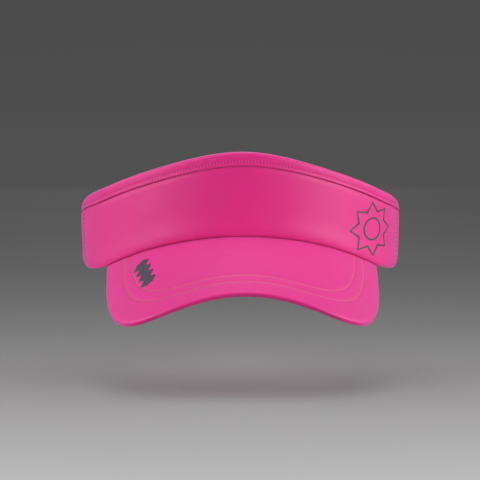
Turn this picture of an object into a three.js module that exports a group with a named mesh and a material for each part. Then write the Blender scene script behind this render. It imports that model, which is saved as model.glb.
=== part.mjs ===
// A sports sun visor: a tall padded front panel on an oval band, a curved brim sewn under it, and a
// back strap closed by an elastic insert and a hook-and-loop tab.
// Millimetres, +Z up, brim towards -Y. The origin is the centre of the head oval, level with the
// front of the seam between panel and brim.
//
// Places on the band are given as (along, depth, height): along is the arc length from the front
// centre, positive towards +X, depth is measured inwards from the band's outer surface.
// Places on the brim are (x, y, depth), with depth measured down through the brim.
import * as THREE from 'three';
import { mergeVertices } from 'three/addons/utils/BufferGeometryUtils.js';

// ---- driving dimensions ----
const gap = 0.3; // between pieces that touch

const oval = { halfWidth: 97, frontDepth: 93, backRadius: 97 };

const panel = {
  halfLength: 137.5, // arc length from the front centre to each end
  crownHeight: 49, // top edge above the seam, at the front centre
  fall: 0.345, // how fast the top edge falls towards the ends
  crownRound: 33, // arc length over which the crown of the top edge is round
  levelFrom: 103, // arc length past which it falls less fast, by levelSlope, blended over levelRound
  levelSlope: 0.135,
  levelRound: 8,
  endRoundLength: 34, // rounding of the top corners, along and down
  endRoundDrop: 6.4,
  lowestEdge: -25, // bottom edge at the ends
  bottomSlope: 0.33, // slope of the bottom edge where it leaves the brim
  cornerLength: 20, // rounding of the bottom corners, along and up
  cornerRise: 5.5,
};

const layer = { // [outer, inner] depths
  sideMark: [-0.6, -0.3],
  panelShell: [0, 0.7],
  panelFoam: [1.0, 2.4],
  panelLining: [2.7, 3.2],
  brimAllowance: [3.5, 4.0],
  sweatPadding: [4.3, 5.5],
  sweatCover: [5.8, 6.4],
  strapShell: [3.5, 4.1],
  strapCore: [4.4, 5.2],
  strapLining: [5.5, 6.0],
  loopPatch: [2.2, 3.2],
  hookPatch: [1.2, 1.9],
  tabLining: [0.4, 0.9],
  tabShell: [-0.5, 0.1],
  careLabel: [6.3, 6.6],
};

const binding = { legLength: 7.2, thickness: 0.6, endWidth: 1 };

const sweatband = { halfLength: 123, height: 30, belowTopEdge: 9 };

const brim = {
  slope: THREE.MathUtils.degToRad(28), // down towards the front
  archRadius: 104,
  halfWidth: 80.7,
  sideEndY: -65, // where the straight sides turn into the rounded front
  frontLength: 78.3, // from there to the front edge
  sideSharpness: 4.7, // exponents of the rounded front outline
  frontSharpness: 2.2,
  topCover: [0, 0.5],
  board: [0.8, 2.1],
  bottomCover: [2.4, 2.9],
  boardInset: 2.0,
  seamInset: [0.2, 1.7],
  seamSide: 14, // how far the seam runs back along each side
  allowanceRise: 10, // how far the covers turn up inside the band
  allowanceDrop: 3.3,
  allowanceHalfLength: 96,
  mark: [-0.6, -0.3],
};

const strap = {
  start: 124, // arc length at which each strap starts inside the panel's end
  height: 22,
  middle: -7.5, // height of its middle line
  tip: { length: 6, drop: 6 }, // rounding of its free end, along and down
};

// angles round the back, in degrees from the back centre towards +X
const back = {
  rightStrapEnd: 62,
  rightCoreEnd: 68,
  elasticStart: 67,
  elasticEnd: 30.3,
  tabRootStart: 30,
  tabHinge: 12,
  tabTip: -38,
  leftStrapEnd: 24,
  loopStart: 21,
  loopEnd: -52,
  hookStart: 8,
  hookEnd: -32,
  careLabel: -58,
  sizeLabel: -72,
};

const tab = { height: 20, tip: { length: 14, drop: 7.5 } };
const patchHeight = { loop: 19, hook: 16 };
const webbingHeight = 19;
const label = { careWidth: 16, careHeight: 14, sizeWidth: 9, sizeHeight: 9 };

const sideMark = {
  along: 89, height: 1.5, // its middle
  stretch: 1.3, // width over height
  rays: 8,
  outerRadius: 16.5,
  innerRadius: 11.5,
  rayShrink: 1.43, // from the star's outline to its hole, for a line of 1.1
  ringRadius: 7,
  ringLine: 1.1,
};
const brimMark = { x: -57.8, y: -94.5, length: 26, width: 9, tilt: 0.22, diamonds: 4, neck: 3.6 };

const bandStep = 6; // between stations along the band
const rimStep = 3.3; // degrees, between stations round the rim

// ---- materials ----
const finish = (color, roughness) => new THREE.MeshStandardMaterial({ color, roughness, metalness: 0 });
const pinkCloth = finish('#e52d87', 0.55);
const pinkLining = finish('#d8357f', 0.7);
const wickingCloth = finish('#d63c86', 0.85);
const foam = finish('#e9e6e2', 0.95);
const boardPlastic = finish('#f2f2ef', 0.5);
const elasticCloth = finish('#cf2f7b', 0.75);
const loopCloth = finish('#c92b76', 0.95);
const hookPlastic = finish('#c22a70', 0.6);
const darkFilm = finish('#4a4750', 0.45);
const labelSatin = finish('#f4f1ee', 0.5);

// ---- places on the oval, the brim and the rim ----
const frontQuarter = new THREE.EllipseCurve(0, 0, oval.halfWidth, oval.frontDepth, -Math.PI / 2, 0);
frontQuarter.arcLengthDivisions = 2000;
const quarterLength = frontQuarter.getLength();
const halfGirth = quarterLength + oval.backRadius * Math.PI / 2;

function turnAt(along) { // plan angle at an arc length, 0 straight ahead
  const distance = Math.abs(along);
  const turn = distance < quarterLength
    ? frontQuarter.getUtoTmapping(distance / quarterLength) * Math.PI / 2
    : Math.PI / 2 + (distance - quarterLength) / oval.backRadius;
  return Math.sign(along) * turn;
}

function bandPoint(along, depth, height) {
  const turn = turnAt(along);
  const deep = Math.abs(turn) < Math.PI / 2 ? oval.frontDepth : oval.backRadius;
  return new THREE.Vector3(
    (oval.halfWidth - depth) * Math.sin(turn), -(deep - depth) * Math.cos(turn), height);
}

// arc length of a place on the right or left half, from its angle round the back
const rightAlong = (degrees) => halfGirth - oval.backRadius * THREE.MathUtils.degToRad(degrees);
const leftAlong = (degrees) => rightAlong(degrees) - 2 * halfGirth;

function brimHeight(x, y, depth = 0) { // an arched sheet that slopes down to the front
  const radius = brim.archRadius - depth;
  const sag = brim.archRadius - Math.sqrt(radius ** 2 - x ** 2);
  return -sag / Math.cos(brim.slope) + Math.tan(brim.slope) * (y + oval.frontDepth);
}

const brimPoint = (x, y, depth) => new THREE.Vector3(x, y, brimHeight(x, y, depth));

function rimFrontY(x, inset) { // y of the rim at x, on a superellipse
  const share = Math.min(1, Math.abs(x) / (brim.halfWidth - inset));
  const reach = (1 - share ** brim.sideSharpness) ** (1 / brim.frontSharpness);
  return brim.sideEndY - (brim.frontLength - inset) * reach;
}

function brimBackY(x, depth) { // y of the band's inner face at x
  const share = x / (oval.halfWidth - depth);
  return -(oval.frontDepth - depth) * Math.sqrt(1 - share ** 2);
}

// ---- edges of the panel ----
function slopingTop(along) {
  const past = Math.abs(along) - panel.levelFrom;
  const level = panel.levelSlope * (Math.hypot(past, panel.levelRound) + past) / 2;
  return panel.crownHeight - panel.fall * (Math.hypot(along, panel.crownRound) - panel.crownRound) + level;
}

function quarterRound(distance, length) { // 0 to 1 over a rounded corner
  const share = THREE.MathUtils.clamp(distance / length, 0, 1);
  return 1 - Math.sqrt(1 - share ** 2);
}

function topEdge(along) {
  const pastCorner = Math.abs(along) - (panel.halfLength - panel.endRoundLength);
  return slopingTop(along) - panel.endRoundDrop * quarterRound(pastCorner, panel.endRoundLength);
}

function bottomEdge(along, depth) { // rests on the brim, and levels out past its sides
  const edgeX = brim.halfWidth + 0.5;
  const edgeTurn = Math.asin(edgeX / (oval.halfWidth - depth));
  const turn = Math.abs(turnAt(along));
  if (turn <= edgeTurn) {
    const place = bandPoint(along, depth, 0);
    return brimHeight(place.x, place.y) + gap;
  }
  const edgeHeight = brimHeight(edgeX, -(oval.frontDepth - depth) * Math.cos(edgeTurn)) + gap;
  const above = edgeHeight - panel.lowestEdge;
  const distance = (turn - edgeTurn) * oval.halfWidth;
  const pastCorner = Math.abs(along) - (panel.halfLength - panel.cornerLength);
  return panel.lowestEdge + above * Math.exp(-distance * panel.bottomSlope / above)
    + panel.cornerRise * quarterRound(pastCorner, panel.cornerLength);
}

// ---- solids ----
const spaced = (from, to, step) => {
  const count = Math.ceil(Math.abs(to - from) / step);
  return Array.from({ length: count + 1 }, (_, i) => from + (to - from) * i / count);
};

const cornerShares = [0.35, 0.65, 0.88, 0.98, 1]; // stations crowd together in a round corner

function bandStations(halfLength, corner, step) {
  const straight = halfLength - corner;
  const round = cornerShares.map((share) => straight + corner * share);
  return [...round.map((along) => -along).reverse(), ...spaced(-straight, straight, step), ...round];
}

function facingOut(geometry) { // turns the faces round if they point inwards
  const place = geometry.getAttribute('position');
  const index = geometry.getIndex();
  const [a, b, c] = [new THREE.Vector3(), new THREE.Vector3(), new THREE.Vector3()];
  let volume = 0;
  for (let i = 0; i < index.count; i += 3) {
    a.fromBufferAttribute(place, index.getX(i));
    b.fromBufferAttribute(place, index.getX(i + 1));
    c.fromBufferAttribute(place, index.getX(i + 2));
    volume += a.dot(b.cross(c));
  }
  if (volume < 0) index.array.reverse();
  return geometry;
}

// sweeps an outline of [u, v] corners through stations; place gives the point of (station, u, v)
function sweep(stations, outlineAt, place) {
  const outlines = stations.map(outlineAt);
  const corners = outlines[0].length;
  const faces = [];
  for (let i = 0; i < stations.length - 1; i++) {
    for (let j = 0; j < corners; j++) {
      const [here, next] = [i * corners + j, i * corners + (j + 1) % corners];
      faces.push(here, next, here + corners, next, next + corners, here + corners);
    }
  }
  const addCap = (outline, first, atStart) => {
    const contour = outline.map(([u, v]) => new THREE.Vector2(u, v));
    const flip = atStart !== THREE.ShapeUtils.isClockWise(contour);
    for (const face of THREE.ShapeUtils.triangulateShape(contour, [])) {
      if (flip) face.reverse();
      faces.push(...face.map((k) => first + k));
    }
  };
  addCap(outlines[0], 0, true);
  addCap(outlines.at(-1), (stations.length - 1) * corners, false);
  const points = outlines.flatMap((outline, i) => outline.map(([u, v]) => place(stations[i], u, v)));
  const geometry = new THREE.BufferGeometry().setFromPoints(points);
  geometry.setIndex(faces);
  return facingOut(geometry);
}

// lays a flat shape between two depths on a curved surface; place gives the point of (u, depth, v)
function plate(shape, [outer, inner], place) {
  const flat = new THREE.ExtrudeGeometry(shape, { depth: 1, bevelEnabled: false, curveSegments: 16 });
  flat.deleteAttribute('normal');
  flat.deleteAttribute('uv');
  const geometry = mergeVertices(flat);
  const spots = geometry.getAttribute('position');
  for (let i = 0; i < spots.count; i++) {
    const depth = outer + (inner - outer) * spots.getZ(i);
    spots.setXYZ(i, ...place(spots.getX(i), depth, spots.getY(i)).toArray());
  }
  return facingOut(geometry);
}

// ---- the front panel ----
function panelLayer([outer, inner]) {
  const outlineAt = (along) => {
    const top = topEdge(along);
    const [outerLow, innerLow] = [bottomEdge(along, outer), bottomEdge(along, inner)];
    return [[outer, outerLow], [inner, innerLow], [inner, top], [outer, top]];
  };
  return sweep(bandStations(panel.halfLength, panel.cornerLength, bandStep), outlineAt, bandPoint);
}

function topBinding() { // a strip folded over the top edge, one leg outside and one inside
  const [outside, inside] = [layer.panelShell[0] - gap, layer.panelLining[1] + gap];
  const thick = binding.thickness;
  const outlineAt = (along) => {
    const crown = topEdge(along) + gap;
    const foot = Math.min(slopingTop(along) - binding.legLength, topEdge(along) - binding.endWidth);
    return [
      [outside - thick, foot], [outside, foot], [outside, crown], [inside, crown], [inside, foot],
      [inside + thick, foot], [inside + thick, crown + thick], [outside - thick, crown + thick],
    ];
  };
  return sweep(bandStations(panel.halfLength, panel.cornerLength, bandStep), outlineAt, bandPoint);
}

function sweatbandLayer([outer, inner]) {
  const outlineAt = (along) => {
    const low = bottomEdge(along, outer);
    const high = Math.min(low + sweatband.height, topEdge(along) - sweatband.belowTopEdge);
    return [[outer, low], [inner, low], [inner, high], [outer, high]];
  };
  return sweep(spaced(-sweatband.halfLength, sweatband.halfLength, bandStep), outlineAt, bandPoint);
}

function sunRays() { // a star outline of even thickness
  const corners = (shrink) => Array.from({ length: 2 * sideMark.rays }, (_, i) => {
    const radius = (i % 2 ? sideMark.innerRadius : sideMark.outerRadius) - shrink;
    const angle = i * Math.PI / sideMark.rays;
    return new THREE.Vector2(radius * Math.cos(angle), radius * Math.sin(angle));
  });
  const star = new THREE.Shape(corners(0));
  star.holes.push(new THREE.Path(corners(sideMark.rayShrink)));
  return star;
}

function sunRing() {
  const ring = new THREE.Shape().absarc(0, 0, sideMark.ringRadius, 0, 2 * Math.PI);
  ring.holes.push(new THREE.Path().absarc(0, 0, sideMark.ringRadius - sideMark.ringLine, 0, 2 * Math.PI));
  return ring;
}

const onPanel = (u, depth, v) =>
  bandPoint(sideMark.along + u * sideMark.stretch, depth, sideMark.height + v);

// ---- the brim ----
function brimLayer([upper, lower], inset) {
  const outlineAt = (turn) => {
    const x = (brim.halfWidth - inset) * Math.sin(turn);
    const [back, front] = [brimBackY(x, layer.panelLining[1]), rimFrontY(x, inset)];
    return [[back, upper], [front, upper], [front, lower], [back, lower]];
  };
  const place = (turn, y, depth) => brimPoint((brim.halfWidth - inset) * Math.sin(turn), y, depth);
  return sweep(spaced(-90, 90, rimStep).map(THREE.MathUtils.degToRad), outlineAt, place);
}

function brimEdgeSeam() { // the covers' allowance, turned in round the rim of the board
  const sides = [0.4, 0.7, 1].map((share) => 90 + share * brim.seamSide);
  const stations = [...sides.map((side) => -side).reverse(), ...spaced(-90, 90, rimStep), ...sides];
  const [upper, lower] = brim.board;
  const [outer, inner] = brim.seamInset;
  // a station is in degrees round the front, and past 90 in millimetres back along a side
  const place = (station, inset, depth) => {
    const turn = THREE.MathUtils.degToRad(THREE.MathUtils.clamp(station, -90, 90));
    const x = (brim.halfWidth - inset) * Math.sin(turn);
    return brimPoint(x, rimFrontY(x, inset) + Math.max(0, Math.abs(station) - 90), depth);
  };
  return sweep(stations, () => [[outer, upper], [inner, upper], [inner, lower], [outer, lower]], place);
}

function brimAllowance() { // the covers' back edges, turned up between lining and sweatband
  const [outer, inner] = layer.brimAllowance;
  const outlineAt = (along) => {
    const level = (depth) => brimHeight(bandPoint(along, depth, 0).x, bandPoint(along, depth, 0).y);
    return [
      [outer, level(outer) - brim.allowanceDrop], [inner, level(inner) - brim.allowanceDrop],
      [inner, level(inner) + brim.allowanceRise], [outer, level(outer) + brim.allowanceRise],
    ];
  };
  const stations = spaced(-brim.allowanceHalfLength, brim.allowanceHalfLength, bandStep);
  return sweep(stations, outlineAt, bandPoint);
}

function diamondChain() { // diamonds in a row, joined by narrow necks
  const [half, wide, neck] = [brimMark.length / 2, brimMark.width / 2, brimMark.neck / 2];
  const spots = spaced(-half, half, half / brimMark.diamonds);
  const reach = (i) => i % 2 ? wide : neck;
  const above = spots.map((u, i) => new THREE.Vector2(u, reach(i)));
  const below = spots.map((u, i) => new THREE.Vector2(u, -reach(i)));
  return new THREE.Shape([...above, ...below.reverse()]);
}

function onBrim(u, depth, v) { // u runs to the front, v across
  const [cos, sin] = [Math.cos(brimMark.tilt), Math.sin(brimMark.tilt)];
  return brimPoint(brimMark.x + u * sin + v * cos, brimMark.y - u * cos + v * sin, depth);
}

// ---- the back ----
const noTip = { length: 0, drop: 0 };

// a strip of even height along the band, its far end rounded; shift moves it in or out on the way
function strip(from, to, height, [outer, inner], tip = noTip, shift = () => 0) {
  const way = Math.sign(to - from);
  const straightEnd = to - way * tip.length;
  const stations = spaced(from, straightEnd, bandStep);
  if (tip.length > 0) {
    stations.push(...cornerShares.map((share) => straightEnd + way * tip.length * share));
  }
  const outlineAt = (along) => {
    const half = height / 2 - tip.drop * quarterRound(way * (along - straightEnd), tip.length || 1);
    const [low, high] = [strap.middle - half, strap.middle + half];
    const [out, inn] = [outer + shift(along), inner + shift(along)];
    return [[out, low], [inn, low], [inn, high], [out, high]];
  };
  return sweep(stations, outlineAt, bandPoint);
}

const middleOf = ([outer, inner]) => (outer + inner) / 2;

// runs out from the right strap's level to the tab's, which lies over the left strap
function elasticWebbing() {
  const [leaves, arrives] = [rightAlong(back.rightStrapEnd), rightAlong(back.elasticEnd)];
  const rise = middleOf([layer.tabShell[0], layer.tabLining[1]]) - middleOf(layer.strapCore);
  const shift = (along) => rise * THREE.MathUtils.smoothstep(along, leaves, arrives);
  return strip(rightAlong(back.elasticStart), arrives, webbingHeight, layer.strapCore, noTip, shift);
}

function labelOn(degrees, width, height) { // sewn to the inside of the left strap
  const middle = leftAlong(degrees);
  return strip(middle - width / 2, middle + width / 2, height, layer.careLabel);
}

// ---- assembly ----
function piece(name, geometry, material) {
  const mesh = new THREE.Mesh(geometry, material);
  mesh.name = name;
  return mesh;
}

const panelGroup = new THREE.Group().add(
  piece('front_panel_shell', panelLayer(layer.panelShell), pinkCloth),
  piece('front_panel_foam', panelLayer(layer.panelFoam), foam),
  piece('front_panel_lining', panelLayer(layer.panelLining), pinkLining),
  piece('top_binding', topBinding(), pinkCloth),
  piece('sweatband_padding', sweatbandLayer(layer.sweatPadding), foam),
  piece('sweatband_cover', sweatbandLayer(layer.sweatCover), wickingCloth),
  piece('side_mark_rays', plate(sunRays(), layer.sideMark, onPanel), darkFilm),
  piece('side_mark_ring', plate(sunRing(), layer.sideMark, onPanel), darkFilm),
);

const brimGroup = new THREE.Group().add(
  piece('brim_top_cover', brimLayer(brim.topCover, 0), pinkCloth),
  piece('brim_board', brimLayer(brim.board, brim.boardInset), boardPlastic),
  piece('brim_bottom_cover', brimLayer(brim.bottomCover, 0), pinkCloth),
  piece('brim_edge_seam', brimEdgeSeam(), pinkCloth),
  piece('brim_seam_allowance', brimAllowance(), pinkCloth),
  piece('brim_mark', plate(diamondChain(), brim.mark, onBrim), darkFilm),
);

const leftStrapEnd = leftAlong(back.leftStrapEnd);
const rightStrapEnd = rightAlong(back.rightStrapEnd);
const strapGroup = new THREE.Group().add(
  piece('left_strap_shell',
    strip(-strap.start, leftStrapEnd, strap.height, layer.strapShell, strap.tip), pinkCloth),
  piece('left_strap_interlining',
    strip(-strap.start, leftStrapEnd, strap.height, layer.strapCore, strap.tip), foam),
  piece('left_strap_lining',
    strip(-strap.start, leftStrapEnd, strap.height, layer.strapLining, strap.tip), pinkLining),
  piece('right_strap_shell', strip(strap.start, rightStrapEnd, strap.height, layer.strapShell), pinkCloth),
  piece('right_strap_interlining',
    strip(strap.start, rightAlong(back.rightCoreEnd), strap.height, layer.strapCore), foam),
  piece('right_strap_lining',
    strip(strap.start, rightStrapEnd, strap.height, layer.strapLining), pinkLining),
  piece('elastic_webbing', elasticWebbing(), elasticCloth),
  piece('loop_patch', strip(
    leftAlong(back.loopStart), leftAlong(back.loopEnd), patchHeight.loop, layer.loopPatch), loopCloth),
  piece('care_label', labelOn(back.careLabel, label.careWidth, label.careHeight), labelSatin),
  piece('size_label', labelOn(back.sizeLabel, label.sizeWidth, label.sizeHeight), labelSatin),
);

const hinge = rightAlong(back.tabHinge);
const tabGroup = new THREE.Group().add(
  piece('tab_root_shell',
    strip(rightAlong(back.tabRootStart), hinge - gap / 2, tab.height, layer.tabShell), pinkCloth),
  piece('tab_root_lining',
    strip(rightAlong(back.tabRootStart), hinge - gap / 2, tab.height, layer.tabLining), pinkLining),
  piece('tab_shell',
    strip(hinge + gap / 2, rightAlong(back.tabTip), tab.height, layer.tabShell, tab.tip), pinkCloth),
  piece('tab_lining',
    strip(hinge + gap / 2, rightAlong(back.tabTip), tab.height, layer.tabLining, tab.tip), pinkLining),
  piece('hook_patch', strip(
    rightAlong(back.hookStart), rightAlong(back.hookEnd), patchHeight.hook, layer.hookPatch), hookPlastic),
);

const visor = new THREE.Group().add(panelGroup, brimGroup, strapGroup, tabGroup);

export default visor;
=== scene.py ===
import math
import bpy
import numpy as np
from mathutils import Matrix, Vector, noise


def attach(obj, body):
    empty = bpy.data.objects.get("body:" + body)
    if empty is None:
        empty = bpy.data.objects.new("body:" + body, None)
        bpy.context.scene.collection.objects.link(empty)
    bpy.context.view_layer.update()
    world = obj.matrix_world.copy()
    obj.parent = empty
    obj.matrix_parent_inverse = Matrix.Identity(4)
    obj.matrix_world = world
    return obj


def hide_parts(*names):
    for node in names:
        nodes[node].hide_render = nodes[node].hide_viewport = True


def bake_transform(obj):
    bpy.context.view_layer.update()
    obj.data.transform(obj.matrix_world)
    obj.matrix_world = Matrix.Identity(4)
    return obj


# A sewn sun visor. Sizes are in millimetres until a mesh is made. Places on the band are (along, depth,
# height): along is the arc length from the front centre, depth is measured in from the band's outer face.

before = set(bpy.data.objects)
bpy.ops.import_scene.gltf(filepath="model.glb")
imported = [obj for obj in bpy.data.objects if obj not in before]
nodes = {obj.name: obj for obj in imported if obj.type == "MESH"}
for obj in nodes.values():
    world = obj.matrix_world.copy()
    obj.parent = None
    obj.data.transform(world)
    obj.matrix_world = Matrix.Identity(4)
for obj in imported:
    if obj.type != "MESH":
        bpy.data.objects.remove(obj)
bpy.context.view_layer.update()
mm = 0.001

oval = dict(halfWidth=97, frontDepth=93, backRadius=97)
panel = dict(
    halfLength=137.5, crownHeight=49, fall=0.345, crownRound=33, levelFrom=103, levelSlope=0.135,
    levelRound=8, endRoundLength=34, endRoundDrop=6.4,
    lowestEdge=-25, bottomSlope=0.33, cornerLength=20, cornerRise=5.5, gap=0.3)
brim = dict(
    slope=math.radians(28), archRadius=104, halfWidth=80.7, sideEndY=-65, frontLength=78.3,
    sideSharpness=4.7, frontSharpness=2.2, frontInset=1.1, thickness=2.9, rimRound=1.1, backDepth=3.2)


# places on the band and the brim
quarterTurns = np.linspace(0, math.pi / 2, 2001)
quarterArcs = np.concatenate([[0], np.cumsum(np.hypot(
    np.diff(oval["halfWidth"] * np.sin(quarterTurns)), np.diff(oval["frontDepth"] * np.cos(quarterTurns))))])
quarterLength = quarterArcs[-1]
halfGirth = quarterLength + oval["backRadius"] * math.pi / 2


def turnAt(along):
    distance = np.abs(along)
    front = np.interp(distance, quarterArcs, quarterTurns)
    back = math.pi / 2 + (distance - quarterLength) / oval["backRadius"]
    return np.sign(along) * np.where(distance < quarterLength, front, back)


def reachAt(turn):  # the oval's half depth, before or behind its widest place
    return np.where(np.abs(turn) < math.pi / 2, oval["frontDepth"], oval["backRadius"])


def bandPoint(along, depth, height):
    turn = turnAt(along)
    x = (oval["halfWidth"] - depth) * np.sin(turn)
    y = -(reachAt(turn) - depth) * np.cos(turn)
    return np.stack(np.broadcast_arrays(x, y, height), -1)


def bandNormal(along):  # outwards, level
    turn = turnAt(along)
    lean = (np.sin(turn) / oval["halfWidth"], -np.cos(turn) / reachAt(turn), 0 * turn)
    out = np.stack(np.broadcast_arrays(*lean), -1)
    return out / np.linalg.norm(out, axis=-1, keepdims=True)


def rightAlong(degrees):  # arc length from the angle round the back, on the right half
    return halfGirth - oval["backRadius"] * math.radians(degrees)


def leftAlong(degrees):
    return rightAlong(degrees) - 2 * halfGirth


def brimHeight(x, y, depth=0):
    radius = brim["archRadius"] - depth
    sag = brim["archRadius"] - np.sqrt(radius ** 2 - np.square(x))
    return -sag / math.cos(brim["slope"]) + math.tan(brim["slope"]) * (y + oval["frontDepth"])


def brimPoint(x, y, depth):
    return np.stack(np.broadcast_arrays(x, y, brimHeight(x, y, depth)), -1)


def rimFrontY(x, inset):
    share = np.clip(np.abs(x) / (brim["halfWidth"] - inset), 0, 1)
    reach = (1 - share ** brim["sideSharpness"]) ** (1 / brim["frontSharpness"])
    return brim["sideEndY"] - (brim["frontLength"] - inset * brim["frontInset"]) * reach


def brimBackY(x, depth):
    return -(oval["frontDepth"] - depth) * np.sqrt(1 - np.square(x / (oval["halfWidth"] - depth)))


# edges of the panel
def quarterRound(distance, length):
    share = np.clip(distance / length, 0, 1)
    return 1 - np.sqrt(1 - share ** 2)


def slopingTop(along):
    past = np.abs(along) - panel["levelFrom"]
    level = panel["levelSlope"] * (np.hypot(past, panel["levelRound"]) + past) / 2
    fallen = panel["fall"] * (np.hypot(along, panel["crownRound"]) - panel["crownRound"])
    return panel["crownHeight"] - fallen + level


def topEdge(along):
    past = np.abs(along) - (panel["halfLength"] - panel["endRoundLength"])
    return slopingTop(along) - panel["endRoundDrop"] * quarterRound(past, panel["endRoundLength"])


def bottomEdge(along, depth):
    edgeX = brim["halfWidth"] + 0.5
    edgeTurn = np.arcsin(edgeX / (oval["halfWidth"] - depth))
    turn = np.abs(turnAt(along))
    place = bandPoint(along, depth, 0.0)
    onBrim = brimHeight(np.clip(place[..., 0], -edgeX, edgeX), place[..., 1]) + panel["gap"]
    edgeHeight = brimHeight(edgeX, -(oval["frontDepth"] - depth) * np.cos(edgeTurn)) + panel["gap"]
    above = edgeHeight - panel["lowestEdge"]
    distance = (turn - edgeTurn) * oval["halfWidth"]
    past = np.abs(along) - (panel["halfLength"] - panel["cornerLength"])
    free = (panel["lowestEdge"] + above * np.exp(-np.maximum(distance, 0) * panel["bottomSlope"] / above)
            + panel["cornerRise"] * quarterRound(past, panel["cornerLength"]))
    return np.where(turn <= edgeTurn, onBrim, free)


# helpers for meshes
def smooth(value, low, high):
    t = np.clip((value - low) / (high - low), 0, 1)
    return t * t * (3 - 2 * t)


def bell(value, centre, width):
    return np.exp(-np.square((value - centre) / width))


def unevenness(points, size, seed):  # soft noise from -1 to 1, for cloth that isn't quite flat
    offset = Vector((seed * 17.3, seed * 5.1, seed * 9.7))
    flat = points.reshape(-1, 3) / size
    return np.array([noise.noise(Vector(p) + offset) for p in flat]).reshape(points.shape[:-1])


def endStations(low, high, step, round, count=6):  # even, and crowded in the rounded ends
    lead = [round * (1 - math.cos(k / count * math.pi / 2)) for k in range(count)]
    middle = np.linspace(low + round, high - round, max(2, math.ceil((high - low - 2 * round) / step) + 1))
    return np.concatenate([[low + d for d in lead], middle, [high - d for d in reversed(lead)]])


def endShare(along, low, high, round):  # 1 along the strip, falling to nearly 0 over its rounded ends
    distance = np.clip(np.minimum(along - low, high - along) / round, 0, 1)
    return np.sqrt(np.maximum(1 - (1 - distance) ** 2, 0.01))


def meshObject(name, points, faces, uvs, material):
    points = np.asarray(points, float).reshape(-1, 3)
    faces = [list(face) for face in faces]
    fan = [(face[0], face[k], face[k + 1]) for face in faces for k in range(1, len(face) - 1)]
    a, b, c = (points[[f[k] for f in fan]] for k in range(3))
    if np.einsum("ij,ij->i", a, np.cross(b, c)).sum() < 0:  # turn the faces outwards
        faces = [face[::-1] for face in faces]
    mesh = bpy.data.meshes.new(name)
    mesh.from_pydata((points * mm).tolist(), [], faces)
    mesh.materials.append(material)
    spread = np.asarray(uvs, np.float32).reshape(-1, 2)[[v for face in faces for v in face]]
    mesh.uv_layers.new(name="cloth").data.foreach_set("uv", spread.ravel())
    mesh.polygons.foreach_set("use_smooth", [True] * len(mesh.polygons))
    obj = bpy.data.objects.new(name, mesh)
    bpy.context.scene.collection.objects.link(obj)
    return obj


def quads(rows, columns, closed):  # a grid's faces, closed across its columns or open
    return [
        (i * columns + j, i * columns + (j + 1) % columns,
         (i + 1) * columns + (j + 1) % columns, (i + 1) * columns + j)
        for i in range(rows - 1) for j in range(columns if closed else columns - 1)]


def sweptSolid(name, points, cloth, material):  # rows of closed outlines, with a fan over each end
    rows, columns = points.shape[:2]
    flat = points.reshape(-1, 3)
    ends = np.stack([points[0].mean(0), points[-1].mean(0)])
    cloth = np.stack(np.broadcast_arrays(*cloth), -1)
    endCloth = np.stack([cloth[0].mean(0), cloth[-1].mean(0)])
    last = (rows - 1) * columns
    faces = quads(rows, columns, True)
    faces += [((j + 1) % columns, j, rows * columns) for j in range(columns)]
    faces += [(last + j, last + (j + 1) % columns, rows * columns + 1) for j in range(columns)]
    points, uvs = np.concatenate([flat, ends]), np.concatenate([cloth.reshape(-1, 2), endCloth])
    return meshObject(name, points, faces, uvs, material)


def sheetSolid(name, outer, inner, cloth, material):  # two like grids, joined round their border
    rows, columns = outer.shape[:2]
    count = rows * columns
    top = quads(rows, columns, False)
    border = [(0, j) for j in range(columns)] + [(i, columns - 1) for i in range(1, rows)]
    border += [(rows - 1, j) for j in range(columns - 2, -1, -1)] + [(i, 0) for i in range(rows - 2, 0, -1)]
    ring = [i * columns + j for i, j in border]
    sides = [(b, a, a + count, b + count) for a, b in zip(ring, ring[1:] + ring[:1])]
    faces = top + [tuple(v + count for v in reversed(face)) for face in top] + sides
    flat = np.concatenate([outer.reshape(-1, 3), inner.reshape(-1, 3)])
    cloth = np.stack(np.broadcast_arrays(*cloth), -1).reshape(-1, 2)
    return meshObject(name, flat, faces, np.concatenate([cloth, cloth]), material)


def ringSolid(name, outer, inner, place, low, high, material):  # a flat closed band laid on a surface
    corners = [(outer, low), (outer, high), (inner, high), (inner, low)]
    points = np.stack([place(path[:, 0], depth, path[:, 1]) for path, depth in corners], 1)
    rows = len(outer)
    faces = [
        (i * 4 + j, i * 4 + (j + 1) % 4, (i + 1) % rows * 4 + (j + 1) % 4, (i + 1) % rows * 4 + j)
        for i in range(rows) for j in range(4)]
    uvs = np.stack([path for path, depth in corners], 1)
    return meshObject(name, points, faces, uvs, material)


# materials
def linear(code):  # sRGB hex to linear
    parts = [int(code[i:i + 2], 16) / 255 for i in (1, 3, 5)]
    return tuple(p / 12.92 if p <= 0.04045 else ((p + 0.055) / 1.055) ** 2.4 for p in parts) + (1,)


def addNode(tree, kind, inputs=None, **settings):  # a node given as an input stands for its first output
    node = tree.nodes.new(kind)
    for name, value in settings.items():
        setattr(node, name, value)
    for key, value in (inputs or {}).items():
        value = value.outputs[0] if isinstance(value, bpy.types.Node) else value
        if isinstance(value, bpy.types.NodeSocket):
            tree.links.new(value, node.inputs[key])
        else:
            node.inputs[key].default_value = value
    return node


def newMaterial(name):
    material = bpy.data.materials.new(name)
    material.use_nodes = True
    material.node_tree.nodes.clear()
    return material, material.node_tree


def surface(tree, inputs):
    shader = addNode(tree, "ShaderNodeBsdfPrincipled", inputs)
    addNode(tree, "ShaderNodeOutputMaterial", {"Surface": shader})


# how many to the metre: soft waves with slow changes of shade, and a fuzz of fibres drawn coarser than real
clothScales = dict(waves=34.0, fuzz=1900.0)


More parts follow.
